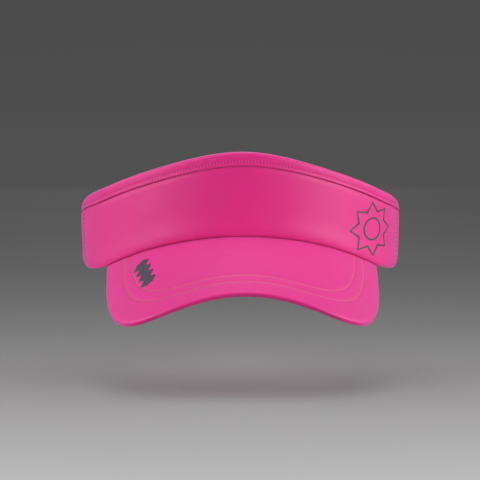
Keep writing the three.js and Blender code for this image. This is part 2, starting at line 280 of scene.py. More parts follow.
def wovenCloth(name, look):
    # threads that pass over and under each other: a fine grid that shades softly
    material, tree = newMaterial(name)
    place = addNode(tree, "ShaderNodeUVMap", uv_map="cloth")
    split = addNode(tree, "ShaderNodeSeparateXYZ", {0: place})
    waves = []
    for axis in (0, 1):
        turned = addNode(tree, "ShaderNodeMath", {0: split.outputs[axis], 1: math.pi / look["thread"]},
                         operation="MULTIPLY")
        waves.append(addNode(tree, "ShaderNodeMath", {0: turned}, operation="SINE"))
    weave = addNode(tree, "ShaderNodeMath", {0: waves[0], 1: waves[1]}, operation="MULTIPLY")
    solid = addNode(tree, "ShaderNodeTexCoord").outputs["Object"]
    cloud = addNode(tree, "ShaderNodeTexNoise", {
        "Vector": solid, "Scale": clothScales["waves"], "Detail": 3.0})
    fine = addNode(tree, "ShaderNodeTexNoise", {
        "Vector": solid, "Scale": clothScales["fuzz"], "Detail": 2.0})
    shade = addNode(tree, "ShaderNodeMath", {0: weave, 1: look["weaveShade"], 2: cloud},
                    operation="MULTIPLY_ADD")
    mixed = addNode(tree, "ShaderNodeMix", {
        "Factor": shade, 6: linear(look["dark"]), 7: linear(look["light"])}, data_type="RGBA").outputs[2]
    ground = addNode(tree, "ShaderNodeBump", {
        "Height": cloud, "Strength": 0.35, "Distance": look["ripple"] * mm})
    grain = addNode(tree, "ShaderNodeBump", {
        "Height": fine, "Strength": 0.5, "Distance": 0.03 * mm, "Normal": ground})
    bumped = addNode(tree, "ShaderNodeBump", {
        "Height": weave, "Strength": 0.6, "Distance": look["relief"] * mm, "Normal": grain})
    rough = addNode(tree, "ShaderNodeMapRange", {
        "Value": fine, "To Min": look["rough"] - 0.06, "To Max": look["rough"] + 0.06})
    surface(tree, {
        "Base Color": mixed, "Roughness": rough, "Normal": bumped, "Specular IOR Level": look["gloss"],
        "Sheen Weight": look["sheen"], "Sheen Roughness": 0.4, "Sheen Tint": linear(look["sheenTint"]),
        "Subsurface Weight": look["glow"], "Subsurface Radius": (1.0, 0.25, 0.5),
        "Subsurface Scale": 1.5 * mm})
    return material


# thread is the spacing of the threads, drawn at two to three times the real one so that it shows

# fine filament polyester, plain woven: smooth, satin-matte, paler and cooler where it turns away
panelPolyester = wovenCloth("wovenPolyesterPanel", dict(
    thread=0.45, light="#e81887", dark="#dd1380", weaveShade=0.12, ripple=0.35, relief=0.03,
    rough=0.5, gloss=0.5, sheen=0.65, sheenTint="#cfccff", glow=0.2))
# the same cloth pulled tight over the board, so it ripples less
brimPolyester = wovenCloth("wovenPolyesterBrim", dict(
    thread=0.45, light="#e81b89", dark="#dd1683", weaveShade=0.12, ripple=0.2, relief=0.03,
    rough=0.5, gloss=0.5, sheen=0.65, sheenTint="#cfccff", glow=0.2))
# spun polyester lining: duller and drier than the outer cloth
liningPolyester = wovenCloth("wovenPolyesterLining", dict(
    thread=0.5, light="#df3f8d", dark="#c92e78", weaveShade=0.2, ripple=0.3, relief=0.05,
    rough=0.7, gloss=0.25, sheen=0.3, sheenTint="#ffc0dc", glow=0.1))
# brushed polyester knit: soft, matte, with rows of loops
wickingKnit = wovenCloth("wickingKnit", dict(
    thread=0.8, light="#dd4a93", dark="#c2377c", weaveShade=0.35, ripple=0.5, relief=0.15,
    rough=0.85, gloss=0.15, sheen=0.5, sheenTint="#ffcfe4", glow=0.1))
# knitted elastic: close ribs with dark gaps between them
elasticKnit = wovenCloth("elasticWebbing", dict(
    thread=0.9, light="#d53d88", dark="#b3286c", weaveShade=0.45, ripple=0.3, relief=0.25,
    rough=0.75, gloss=0.2, sheen=0.3, sheenTint="#ffc0dc", glow=0.1))
# napped nylon loop tape: fuzzy, with no gloss
loopTape = wovenCloth("loopTape", dict(
    thread=0.7, light="#cf3a83", dark="#a62763", weaveShade=0.5, ripple=0.6, relief=0.3,
    rough=0.95, gloss=0.1, sheen=0.8, sheenTint="#ffb0d4", glow=0.1))
# polyester satin ribbon: white, with a soft shine
satinLabel = wovenCloth("satinLabel", dict(
    thread=0.35, light="#f4f1ee", dark="#e3dfdb", weaveShade=0.2, ripple=0.2, relief=0.03,
    rough=0.4, gloss=0.5, sheen=0.1, sheenTint="#ffffff", glow=0.1))


def plainFinish(name, look):
    # moulded, spun or printed stuff of one colour: faint mottling, which also makes its gloss uneven
    material, tree = newMaterial(name)
    solid = addNode(tree, "ShaderNodeTexCoord").outputs["Object"]
    cloud = addNode(tree, "ShaderNodeTexNoise", {
        "Vector": solid, "Scale": look["scale"], "Detail": 4.0})
    mixed = addNode(tree, "ShaderNodeMix", {
        "Factor": cloud, 6: linear(look["dark"]), 7: linear(look["light"])}, data_type="RGBA").outputs[2]
    bumped = addNode(tree, "ShaderNodeBump", {
        "Height": cloud, "Strength": 0.5, "Distance": look["relief"] * mm})
    rough = addNode(tree, "ShaderNodeMapRange", {
        "Value": cloud, "To Min": look["rough"] - 0.08, "To Max": look["rough"] + 0.08})
    surface(tree, {
        "Base Color": mixed, "Roughness": rough, "Normal": bumped, "Specular IOR Level": look["gloss"]})
    return material


# twisted polyester sewing thread: a little shinier and paler than the cloth
pinkThread = plainFinish("polyesterThread", dict(
    light="#fa7db4", dark="#ee5f9f", scale=900.0, relief=0.04, rough=0.5, gloss=0.45))
# the brim's thread, dyed to another pink: it shows as warm pale dots
peachThread = plainFinish("polyesterThreadPeach", dict(
    light="#ffab93", dark="#fb9783", scale=900.0, relief=0.04, rough=0.5, gloss=0.45))
# painted shade: a dark, dull bead standing in for the shaded cloth that a needle pushes down between two
# stitches
paintedNeedleShade = plainFinish("paintedNeedleShade", dict(
    light="#a3104f", dark="#8d0c44", scale=900.0, relief=0.02, rough=0.9, gloss=0.1))
# polyurethane heat-transfer film, pressed on: dark grey, flat, half matte
darkFilm = plainFinish("heatTransferFilm", dict(
    light="#514a58", dark="#443e4b", scale=260.0, relief=0.01, rough=0.5, gloss=0.4))
# die-cut polyethylene sheet: milky white and waxy
boardPlastic = plainFinish("polyethyleneBoard", dict(
    light="#f4f3f0", dark="#e9e8e4", scale=120.0, relief=0.02, rough=0.45, gloss=0.5))
# moulded nylon: its hooks catch small glints
hookNylon = plainFinish("hookNylon", dict(
    light="#d23c86", dark="#b82c70", scale=500.0, relief=0.02, rough=0.4, gloss=0.5))


# repeated things, by Geometry Nodes
def stitchTree():  # a bead of thread at every pitch of a path, and half way to the next a dark bead of painted shade, where the cloth is pressed into needle holes
    tree = bpy.data.node_groups.new("stitchesAlongPath", "GeometryNodeTree")
    for name, kind in (("Path", "Geometry"), ("Pitch", "Float"), ("Stitch", "Vector"), ("HoleShade", "Vector"),
                       ("Thread", "Material"), ("Shade", "Material")):
        tree.interface.new_socket(name, in_out="INPUT", socket_type="NodeSocket" + kind)
    tree.interface.new_socket("Mesh", in_out="OUTPUT", socket_type="NodeSocketGeometry")
    given = addNode(tree, "NodeGroupInput").outputs
    curve = addNode(tree, "GeometryNodeMeshToCurve", {"Mesh": given["Path"]})
    half = addNode(tree, "ShaderNodeMath", {0: given["Pitch"], 1: 0.5}, operation="MULTIPLY")
    bead = addNode(tree, "GeometryNodeMeshUVSphere", {"Segments": 6, "Rings": 6, "Radius": 1.0})
    laid = addNode(tree, "GeometryNodeTransform", {"Geometry": bead, "Rotation": (0, math.pi / 2, 0)})
    tangent = addNode(tree, "GeometryNodeInputTangent")
    up = addNode(tree, "GeometryNodeInputNamedAttribute", {"Name": "up"}, data_type="FLOAT_VECTOR")
    along = addNode(tree, "FunctionNodeAlignRotationToVector", {"Vector": tangent}, axis="X")
    turned = addNode(tree, "FunctionNodeAlignRotationToVector", {"Rotation": along, "Vector": up},
                     axis="Z", pivot_axis="X")
    later = addNode(tree, "GeometryNodeTrimCurve", {"Curve": curve, 4: half, 5: 100.0}, mode="LENGTH")
    kinds = []
    # beads of thread, then half a pitch later dark dots of painted shade at the needle holes
    for path, size, finish in ((curve, "Stitch", "Thread"), (later, "HoleShade", "Shade")):
        spaced = addNode(tree, "GeometryNodeResampleCurve", {
            "Curve": path, "Length": given["Pitch"]}, mode="LENGTH")
        placed = addNode(tree, "GeometryNodeInstanceOnPoints", {
            "Points": spaced, "Instance": laid, "Rotation": turned, "Scale": given[size]})
        real = addNode(tree, "GeometryNodeRealizeInstances", {"Geometry": placed})
        shaded = addNode(tree, "GeometryNodeSetShadeSmooth", {"Geometry": real})
        kinds.append(addNode(tree, "GeometryNodeSetMaterial", {
            "Geometry": shaded, "Material": given[finish]}))
    joined = addNode(tree, "GeometryNodeJoinGeometry", {0: kinds[0]})
    tree.links.new(kinds[1].outputs[0], joined.inputs[0])
    addNode(tree, "NodeGroupOutput", {"Mesh": joined})
    return tree


def pileTree():  # one bent fibre on each point, turned and sized at random
    tree = bpy.data.node_groups.new("fibresOnPoints", "GeometryNodeTree")
    for name, kind in (("Points", "Geometry"), ("Size", "Vector"), ("Crest", "Vector"), ("Tip", "Vector"),
                       ("Seed", "Int"), ("Fibre", "Material")):
        tree.interface.new_socket(name, in_out="INPUT", socket_type="NodeSocket" + kind)
    tree.interface.new_socket("Mesh", in_out="OUTPUT", socket_type="NodeSocketGeometry")
    given = addNode(tree, "NodeGroupInput").outputs
    bend = addNode(tree, "GeometryNodeCurveQuadraticBezier", {
        "Resolution": 5, "Start": (0, 0, 0), "Middle": given["Crest"], "End": given["Tip"]})
    ring = addNode(tree, "GeometryNodeCurvePrimitiveCircle", {"Resolution": 3, "Radius": 0.11})
    fibre = addNode(tree, "GeometryNodeCurveToMesh", {
        "Curve": bend, "Profile Curve": ring, "Fill Caps": True})
    up = addNode(tree, "GeometryNodeInputNamedAttribute", {"Name": "up"}, data_type="FLOAT_VECTOR")
    upright = addNode(tree, "FunctionNodeAlignRotationToVector", {"Vector": up}, axis="Z")
    spin = addNode(tree, "FunctionNodeRandomValue", {
        2: 0.0, 3: 2 * math.pi, "Seed": given["Seed"]}).outputs[1]
    around = addNode(tree, "ShaderNodeCombineXYZ", {2: spin})
    turn = addNode(tree, "FunctionNodeEulerToRotation", {0: around})
    turned = addNode(tree, "FunctionNodeRotateRotation", {0: upright, 1: turn}, rotation_space="LOCAL")
    taller = addNode(tree, "FunctionNodeRandomValue", {2: 0.75, 3: 1.15, "Seed": given["Seed"]}).outputs[1]
    size = addNode(tree, "ShaderNodeVectorMath", {0: given["Size"], 1: taller}, operation="MULTIPLY")
    placed = addNode(tree, "GeometryNodeInstanceOnPoints", {
        "Points": given["Points"], "Instance": fibre, "Rotation": turned, "Scale": size})
    real = addNode(tree, "GeometryNodeRealizeInstances", {"Geometry": placed})
    shaded = addNode(tree, "GeometryNodeSetShadeSmooth", {"Geometry": real})
    done = addNode(tree, "GeometryNodeSetMaterial", {"Geometry": shaded, "Material": given["Fibre"]})
    addNode(tree, "NodeGroupOutput", {"Mesh": done})
    return tree


stitches = stitchTree()
pile = pileTree()


def grownMesh(name, carrier, tree, values):  # runs a tree on a carrier and keeps the result as a plain mesh
    modifier = carrier.modifiers.new("grow", "NODES")
    modifier.node_group = tree
    for item in tree.interface.items_tree:
        if item.in_out == "INPUT" and item.name in values:
            modifier[item.identifier] = values[item.name]
    seen = carrier.evaluated_get(bpy.context.evaluated_depsgraph_get())
    mesh = bpy.data.meshes.new_from_object(seen)
    mesh.name = name
    bpy.data.objects.remove(carrier)
    obj = bpy.data.objects.new(name, mesh)
    bpy.context.scene.collection.objects.link(obj)
    return obj


def carrierObject(paths, joined=True):  # points with the way up at each, joined up into paths or left loose
    mesh = bpy.data.meshes.new("carrier")
    points = np.concatenate([p for p, up in paths]) * mm
    firsts = np.cumsum([0] + [len(p) for p, up in paths])
    edges = [(k, k + 1) for first, end in zip(firsts, firsts[1:]) for k in range(first, end - 1)]
    mesh.from_pydata(points.tolist(), edges if joined else [], [])
    ups = np.concatenate([np.broadcast_to(up, p.shape) for p, up in paths]).astype(np.float32)
    mesh.attributes.new("up", "FLOAT_VECTOR", "POINT").data.foreach_set("vector", ups.ravel())
    obj = bpy.data.objects.new("carrier", mesh)
    bpy.context.scene.collection.objects.link(obj)
    return obj


def puffed(obj, look):  # blows the free part of a pad up as cloth, held along its seams
    rest = np.array([v.co for v in obj.data.vertices])
    held = obj.vertex_groups.new(name="seams")
    held.add([i for i, free in enumerate(look["free"]) if not free], 1.0, "REPLACE")
    cloth = obj.modifiers.new("air", "CLOTH")
    settings = cloth.settings
    settings.vertex_group_mass = "seams"
    settings.pin_stiffness = 1.0
    settings.use_pressure = True
    settings.uniform_pressure_force = look["pressure"]
    settings.effector_weights.gravity = 0
    settings.shrink_min = look["slack"]
    settings.quality = 6
    settings.mass = 0.1
    settings.tension_stiffness = 10
    settings.compression_stiffness = 10
    cloth.collision_settings.use_collision = False
    cloth.collision_settings.use_self_collision = False
    cloth.point_cache.frame_start = 1
    cloth.point_cache.frame_end = look["frames"]
    for step in range(1, look["frames"] + 1):
        bpy.context.scene.frame_set(step)
    blown = obj.evaluated_get(bpy.context.evaluated_depsgraph_get()).data
    move = np.array([v.co for v in blown.vertices]) - rest
    length = np.linalg.norm(move, axis=1, keepdims=True)
    limit = look["limit"] * mm
    move *= limit * np.tanh(length / limit) / np.maximum(length, 1e-9)
    obj.modifiers.remove(cloth)
    obj.vertex_groups.clear()
    obj.data.vertices.foreach_set("co", (rest + move).ravel())
    bpy.context.scene.frame_set(1)
    furthest = float(np.linalg.norm(move, axis=1).max()) / mm
    print("scene: cloth moved", obj.name, "by up to", round(furthest, 2), "mm")


def sewnRows(name, paths, sewing, material=None):
    size = (sewing["length"] / 2 * mm, sewing["width"] / 2 * mm, sewing["height"] / 2 * mm)
    # the size of each dark dot of painted shade at the needle holes
    hole = (sewing["hole"] / 2 * mm, sewing["hole"] / 2 * mm, sewing["hole"] / 3 * mm)
    return grownMesh(name, carrierObject(paths), stitches, {
        "Pitch": sewing["pitch"] * mm, "Stitch": size, "HoleShade": hole,
        "Thread": material or pinkThread, "Shade": paintedNeedleShade})


def bandPath(along, depth, height, side=-1):  # a row on the band; side -1 outside, 1 inside
    along, depth, height = np.broadcast_arrays(along, depth, height)
    return bandPoint(along, depth, height), bandNormal(along) * -side


lockstitch = dict(pitch=1.9, length=1.15, width=0.44, height=0.34, hole=0.72)
print("scene: materials and tools ready")


# the front panel: outer cloth bonded to foam, one soft pillow
panelCloth = dict(
    thickness=2.4, puff=0.3, roll=0.45, rollHeight=5.2, rollSpread=5, hem=1.1, hemRise=0.8,
    leftSag=(-38, 24, 0.15), rightSag=(52, 16, 0.1),  # along, width, and how much further the roll hangs out
    tuck=0.5, endRow=129, dent=0.25, endPuff=0.55, step=1.6, wave=0.14, topDrop=1.2, endRound=1.2)
bindingCloth = dict(
    leg=7.2, row=2.4, outside=-0.9, inside=4.1, thickness=0.6, dent=0.13, puff=0.12, wave=0.10,
    overhang=0.4, endRound=0.6, foldFrom=0.9, foldRise=1.8, hem=0.3, rowReach=131, cut=(22, 285),
    pull=1.1, pulled=(-10, 60))  # the cloth is pulled down tighter on the wearer's left


def bindingFoot(along):
    return np.minimum(slopingTop(along) - bindingCloth["leg"], topEdge(along) - 1)


def faceDepth(along, rise, height):  # the front cloth's depth; rise is above the panel's bottom edge
    look = panelCloth
    line = bindingFoot(along)
    points = bandPoint(along, 0.0, height)
    waves = unevenness(points, 18, 1) + 0.45 * unevenness(points, 7, 2)
    left, right = bell(along, *look["leftSag"][:2]), bell(along, *look["rightSag"][:2])
    roll = look["roll"] + look["leftSag"][2] * left + look["rightSag"][2] * right
    roll = roll - look["roll"] * smooth(np.abs(along), 116, 134)
    return (
        -look["puff"] - roll * bell(rise, look["rollHeight"], look["rollSpread"])
        + look["hem"] * np.exp(-rise / look["hemRise"])
        - look["endPuff"] * smooth(np.abs(along), 127, 133) * smooth(rise, 6, 24)
        + look["wave"] * waves * smooth(rise, 2, 9)
        + look["tuck"] * smooth(height, line - 2.4, line + 0.2)
        + look["dent"] * bell(np.abs(along), look["endRow"], 0.9) * (height < line))


def makePanel():
    look = panelCloth
    half = panel["halfLength"]
    along = endStations(-half, half, look["step"], look["endRound"])[:, None]
    share = endShare(along, -half, half, look["endRound"])
    under = np.array([(1.6, -0.1), (1.2, 0.05), (0.8, 0.2)])  # depth and rise of the turned-in hem
    rise = np.concatenate([[0.35, 0.5, 0.7, 0.95, 1.25, 1.6, 2, 2.6, 3.3], np.arange(4, 13)])
    plain = faceDepth(along, rise, 0 * along + rise)
    lowDepth = np.concatenate([np.broadcast_to(under[:, 0], (len(along), 3)), plain], 1)
    lowRise = np.broadcast_to(np.concatenate([under[:, 1], rise]), lowDepth.shape)
    lowHeight = bottomEdge(along, lowDepth) + lowRise
    top = topEdge(along) - look["topDrop"]
    highHeight = lowHeight[:, -1:] + (top - lowHeight[:, -1:]) * np.linspace(0, 1, 27)[1:]
    highRise = lowRise[:, -1:] + highHeight - lowHeight[:, -1:]
    frontHeight = np.concatenate([lowHeight[:, 3:], highHeight], 1)
    frontRise = np.concatenate([lowRise[:, 3:], highRise], 1)
    frontDepth = faceDepth(along, frontRise, frontHeight)
    inside = np.linspace(1, 0, 9)
    innerLow = bottomEdge(along, look["thickness"])
    innerHeight = innerLow + (top - innerLow) * inside
    height = np.concatenate([lowHeight[:, :3], frontHeight, innerHeight], 1)
    depth = np.concatenate([lowDepth[:, :3], frontDepth, np.full((len(along), 9), look["thickness"])], 1)
    middle = look["thickness"] / 2
    depth = middle + (depth - middle) * share
    obj = sweptSolid("panelCloth", bandPoint(along, depth, height), (along, height), panelPolyester)
    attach(obj, "crown")
    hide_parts("front_panel_shell", "front_panel_foam")


def makeBinding():
    look = bindingCloth
    half = panel["halfLength"] + look["overhang"]
    along = endStations(-half, half, panelCloth["step"], look["endRound"])[:, None]
    inner = np.clip(along, -panel["halfLength"], panel["halfLength"])
    foot = bindingFoot(inner)
    crown = topEdge(inner) - look["pull"] * smooth(inner, *look["pulled"])
    out, thick, inn = look["outside"], look["thickness"], look["inside"]
    legTop = crown - look["foldFrom"]
    legFoot = foot + look["hem"]
    outerLeg = legFoot + (legTop - foot - look["hem"]) * np.linspace(0, 1, 14)
    arc = np.linspace(0, math.pi, 11)[1:-1]
    middle, spread = (out + inn) / 2, (inn - out) / 2
    columns = [np.broadcast_arrays(*column) for column in (
        (out + thick / 2, foot), (out, outerLeg),
        (middle - spread * np.cos(arc), legTop + look["foldRise"] * np.sin(arc)),
        (inn, outerLeg[:, ::-1]), (inn - thick / 2, foot),
        (inn - thick, legFoot), (inn - thick, crown + 0.15),  # the inner face, where the panel's edge lies
        (out + thick, crown + 0.15), (out + thick, legFoot))]
    depth = np.concatenate([d for d, h in columns], 1)
    height = np.concatenate([h for d, h in columns], 1)
    side = np.sign(depth - middle)
    faces = np.concatenate([np.full(d.shape[1], k in (1, 2, 3)) for k, (d, h) in enumerate(columns)])
    long = np.clip((crown - foot) / look["leg"], 0, 1)
    row = foot + look["row"] * long
    press = look["dent"] * bell(height, row, 0.9) - look["puff"] * bell(height, (row + crown) / 2, 2.6)
    points = bandPoint(inner, depth, height)
    wave = look["wave"] * unevenness(points, 8, 3)
    depth = depth + faces * side * (wave - press * long)
    share = endShare(along, -half, half, look["endRound"])
    depth = middle + (depth - middle) * (0.72 + 0.28 * share)  # a little thinner at its cut ends
    points = bandPoint(along, depth, height)
    obj = sweptSolid("bindingCloth", points, (along, height - foot + side), panelPolyester)
    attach(obj, "crown")
    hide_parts("top_binding")
    reach = np.linspace(-look["rowReach"], look["rowReach"], 180)
    rowHeight = bindingFoot(reach) + look["row"]
    paths = [bandPath(reach, out + look["dent"] - 0.02, rowHeight, -1),
             bandPath(reach, inn - look["dent"] + 0.02, rowHeight, 1)]
    thread = sewnRows("bindingThread", paths, lockstitch)
    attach(thread, "crown")


endStitch = dict(pitch=2.8, length=1.6, width=0.4, height=0.3, hole=1.0)


def makeEndRows():
    paths = []
    for side in (-1, 1):
        along = np.array(side * panelCloth["endRow"])
        bottom = bottomEdge(along, 0.0)
        height = np.linspace(bottom + 1.5, bindingFoot(along) - 0.6, 40)
        cloth = faceDepth(along, height - bottom, height)
        paths.append(bandPath(along, cloth - 0.02, height, -1))
    thread = sewnRows("panelEndThread", paths, endStitch)
    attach(thread, "crown")


liningCloth = dict(margin=0.4, step=2.5, foot=3.2, outer=2.7, inner=3.15, wave=0.12)


def makeLining():
    look = liningCloth
    half = panel["halfLength"] - look["margin"]
    along = endStations(-half, half, look["step"], 0.3, 3)[:, None]
    low = bottomEdge(along, look["foot"])
    height = low + (topEdge(along) - panelCloth["topDrop"] - low) * np.linspace(0, 1, 26)
    grids = []
    for depth in (look["inner"], look["outer"]):
        wave = look["wave"] * unevenness(bandPoint(along, depth, height), 9, 4)
        grids.append(bandPoint(along, depth + wave, height))
    obj = sheetSolid("panelLining", grids[0], grids[1], (along, height), liningPolyester)
    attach(obj, "crown")
    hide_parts("front_panel_lining")


makePanel()
makeBinding()
makeEndRows()
makeLining()
print("scene: front panel made")


# the sweatband: a wicking knit folded over thin foam
sweatCloth = dict(halfLength=123, outer=4.3, inner=6.4, height=30, below=9, sink=0.6, bulge=0.5, row=2.6,
                  dent=0.5, pucker=(0.25, 0.2), pressure=4, slack=-0.03, frames=20, limit=0.9)


def sweatEdges(along):  # its lower and upper edge
    low = bottomEdge(along, sweatCloth["outer"]) - sweatCloth["sink"]
    return low, np.minimum(low + sweatCloth["height"], topEdge(along) - sweatCloth["below"])


def makeSweatband():
    look = sweatCloth
    half = look["halfLength"]
    round = (look["inner"] - look["outer"]) / 2
    along = endStations(-half, half, 1.5, round)[:, None]
    share = endShare(along, -half, half, round)
    low, high = sweatEdges(along)
    arc = np.linspace(0, math.pi, 9)
    rise = np.linspace(-1, 1, 28)
    side = np.concatenate([-np.ones(10), -np.cos(arc)[1:-1], np.ones(28), np.cos(arc)[1:-1]])
    across = np.concatenate([np.linspace(-1, 1, 10), np.ones(7), rise[::-1], -np.ones(7)])
    lift = np.concatenate([np.zeros(10), np.sin(arc)[1:-1], np.zeros(28), -np.sin(arc)[1:-1]])
    middle = (look["inner"] + look["outer"]) / 2
    height = (low + high) / 2 + across * ((high - low) / 2 - round) + lift * round * share
    depth = middle + round * share * side
    crowned = look["bulge"] * (1 - across ** 4) * share
    row = look["dent"] * bell(height, high - look["row"], 0.8)
    points = bandPoint(along, depth, height)
    upright, broad = look["pucker"]
    pucker = upright * unevenness(points * np.array([1, 1, 0.4]), 5, 5) + broad * unevenness(points, 12, 6)
    depth = depth + (side > 0.5) * (crowned - row + pucker * (1 - across ** 4))
    obj = sweptSolid("sweatbandPad", bandPoint(along, depth, height), (along, height), wickingKnit)
    free = (side > 0.5) & (np.abs(across) < 0.93) & (height < high - look["row"] - 0.8) & (share > 0.99)
    puffed(obj, dict(look, free=list(free.ravel()) + [False, False]))
    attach(obj, "crown")
    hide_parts("sweatband_cover", "sweatband_padding")
    reach = np.linspace(-half + 3, half - 3, 140)
    rowHeight = sweatEdges(reach)[1] - look["row"]
    thread = sewnRows("sweatbandThread", [bandPath(reach, look["inner"] + 0.05, rowHeight, 1)], lockstitch)
    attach(thread, "crown")


makeSweatband()
print("scene: sweatband made")


# the brim: two cloth covers turned over a plastic board
brimCloth = dict(
    cover=0.5, border=8, deepest=15, rows=(9.4, 14.7), dent=0.28, rowWidth=0.8, proud=0.16,
    seamAngle=-24, squareness=0.45, groove=0.3, undercut=0.8)  # the rim leans back under its top edge
brimInsets = np.concatenate([
    np.linspace(brim["rimRound"], brimCloth["border"], 8), np.linspace(8.4, brimCloth["deepest"], 23)])
brimShares = np.linspace(0, 1, 26)[1:]


def brimStations():
    sides = np.linspace(1, 0, 14)[:-1]
    turns = np.radians(np.linspace(-90, 90, 150))
    return [("left", f) for f in sides] + [("front", t) for t in turns] + [("right", f) for f in sides[::-1]]


def nestedPoint(station, inset):  # a place on the outline that lies inset from the rim
    kind, value = station
    half = brim["halfWidth"] - inset
    if kind == "front":
        x = half * math.sin(value)
        return x, float(rimFrontY(x, inset))
    back = float(brimBackY(half, brim["backDepth"]))
    y = brim["sideEndY"] + value * (back - brim["sideEndY"])
    return (-half if kind == "left" else half), y


def inwardPoint(station, share):  # from the deepest nested outline to the band
    x0, y0 = nestedPoint(station, brimCloth["deepest"])
    kind, value = station
    spread = 0.985 if kind == "front" else 0.985 + 0.015 * value
    x1 = x0 * spread
    y1 = float(brimBackY(x1, brim["backDepth"]))
    return x0 + (x1 - x0) * share, y0 + (y1 - y0) * share


def brimGrid(insets, shares):
    flat = []
    for station in brimStations():
        flat.append([nestedPoint(station, i) for i in insets] + [inwardPoint(station, s) for s in shares])
    return np.array(flat)


def brimDent():  # a furrow under each row of stitches
    columns = np.concatenate([brimInsets, np.full(len(brimShares), 99)])
    return sum(brimCloth["dent"] * bell(columns, row, brimCloth["rowWidth"]) for row in brimCloth["rows"])


def makeBrimCover(name, upper, material):
    look = brimCloth
    half = brim["thickness"] / 2
    split = math.radians(look["seamAngle"])
    bends = np.linspace(math.pi / 2, split, 16)[1:] if upper else np.linspace(-math.pi / 2, split, 7)[1:]
    start, border = brim["rimRound"], look["border"]
    first = start if upper else start + look["undercut"]
    pushed = np.interp(brimInsets, [start, border], [first, border])
    insets = np.where(brimInsets > border, brimInsets, pushed)
    grid = brimGrid(insets, brimShares)[:, ::-1]  # from the band out to the rim
    x, y = grid[..., 0], grid[..., 1]
    dent = brimDent()[::-1][None, :]
    points = brimPoint(x, y, 0 * x)
    ripple = 0.12 * unevenness(points, 14, 7) + 0.05 * unevenness(points, 5, 8)
    fade = smooth(np.concatenate([brimInsets, np.full(len(brimShares), 20.0)])[::-1], 1.5, 6)[None, :]
    coverDepth = dent + ripple * fade if upper else brim["thickness"] - dent - ripple * fade
    backing = look["cover"] if upper else -look["cover"]
    outer = [brimPoint(x, y, coverDepth)]
    inner = [brimPoint(x, y, coverDepth + backing)]
    for reach, grids in ((0.0, outer), (look["cover"], inner)):
        rim = []
        for bend in bends:
            radius = brim["rimRound"] - reach
            groove = look["groove"] * bell(math.degrees(bend), look["seamAngle"], 9)
            out, up = (abs(f(bend)) ** look["squareness"] for f in (math.cos, math.sin))
            level = half - (half - reach) * math.copysign(up, bend)
            lean = look["undercut"] * max(0, level / brim["thickness"] - 0.25) / 0.75
            inset = brim["rimRound"] - radius * out + groove + lean
            edge = np.array([nestedPoint(station, inset) for station in brimStations()])
            rim.append(brimPoint(edge[:, 0], edge[:, 1], np.full(len(edge), level)))
        grids.append(np.stack(rim, 1))
    outer, inner = np.concatenate(outer, 1), np.concatenate(inner, 1)
    cloth = (outer[..., 0], outer[..., 1] + outer[..., 2] * 0.3)
    obj = sheetSolid(name, outer, inner, cloth, material)
    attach(obj, "crown")
    return obj


def brimUp(x):  # the way up off the brim at x
    lean = np.arcsin(np.clip(x / brim["archRadius"], -1, 1))
    slope = brim["slope"]
    return np.stack([np.sin(lean), -math.sin(slope) * np.cos(lean), math.cos(slope) * np.cos(lean)], -1)


brimStitch = dict(pitch=1.95, length=1.0, width=0.5, height=0.4, hole=0.45)


def makeBrimRows():
    paths = []
    sink = brimCloth["dent"] - brimCloth["proud"]  # how deep the middles of the stitches lie
    for inset in brimCloth["rows"]:
        stations = [s for s in brimStations() if s[0] == "front" or s[1] < 0.92]
        line = np.array([nestedPoint(s, inset) for s in stations])
        up = brimUp(line[:, 0])
        paths.append((brimPoint(line[:, 0], line[:, 1], sink), up))
        paths.append((brimPoint(line[:, 0], line[:, 1], brim["thickness"] - sink), -up))
    thread = sewnRows("brimThread", paths, brimStitch, peachThread)
    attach(thread, "crown")


topCover = makeBrimCover("brimTopCloth", True, brimPolyester)
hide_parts("brim_top_cover", "brim_edge_seam")
bottomCover = makeBrimCover("brimBottomCloth", False, brimPolyester)
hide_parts("brim_bottom_cover")
makeBrimRows()
nodes["brim_board"].data.materials.clear()
nodes["brim_board"].data.materials.append(boardPlastic)


allowanceCloth = dict(halfLength=96, outer=3.45, inner=3.95, rise=10, drop=3.3, fray=0.35, crumple=0.05)


def makeSeamAllowance():
    look = allowanceCloth
    along = endStations(-look["halfLength"], look["halfLength"], 2.5, 0.3, 3)[:, None]
    rise = np.linspace(0, 1, 12)
    place = bandPoint(along, look["outer"], 0.0)
    level = brimHeight(place[..., 0], place[..., 1])
    height = level - look["drop"] + (look["rise"] + look["drop"]) * rise
    place = bandPoint(along, 0, height)
    fray = look["fray"] * unevenness(place, 4, 12) * smooth(rise, 0.8, 1)  # a cut edge
    crumple = look["crumple"] * unevenness(place, 7, 13)
    outer, inner = (bandPoint(along, look[side] + crumple, height + fray) for side in ("outer", "inner"))
    obj = sheetSolid("seamAllowanceCloth", outer, inner, (along, height), brimPolyester)
    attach(obj, "crown")
    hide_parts("brim_seam_allowance")


makeSeamAllowance()
print("scene: brim made")


# the marks: thin printed film
sunMark = dict(along=89, height=1.5, stretch=1.3, rays=8, outerRadius=16.5, innerRadius=11.5,
               rayShrink=1.43, ring=7, line=1.1)
diamondMark = dict(x=-57.8, y=-94.5, length=26, width=9, tilt=0.22, diamonds=4, neck=3.6)
filmDepths = (-0.07, 0.25)  # proud of the cloth, and sunk into it


def onPanel(u, depth, v):
    along, height = sunMark["along"] + u * sunMark["stretch"], sunMark["height"] + v
    cloth = faceDepth(along, height - bottomEdge(along, 0.0), height)
    return bandPoint(along, cloth + depth, height)


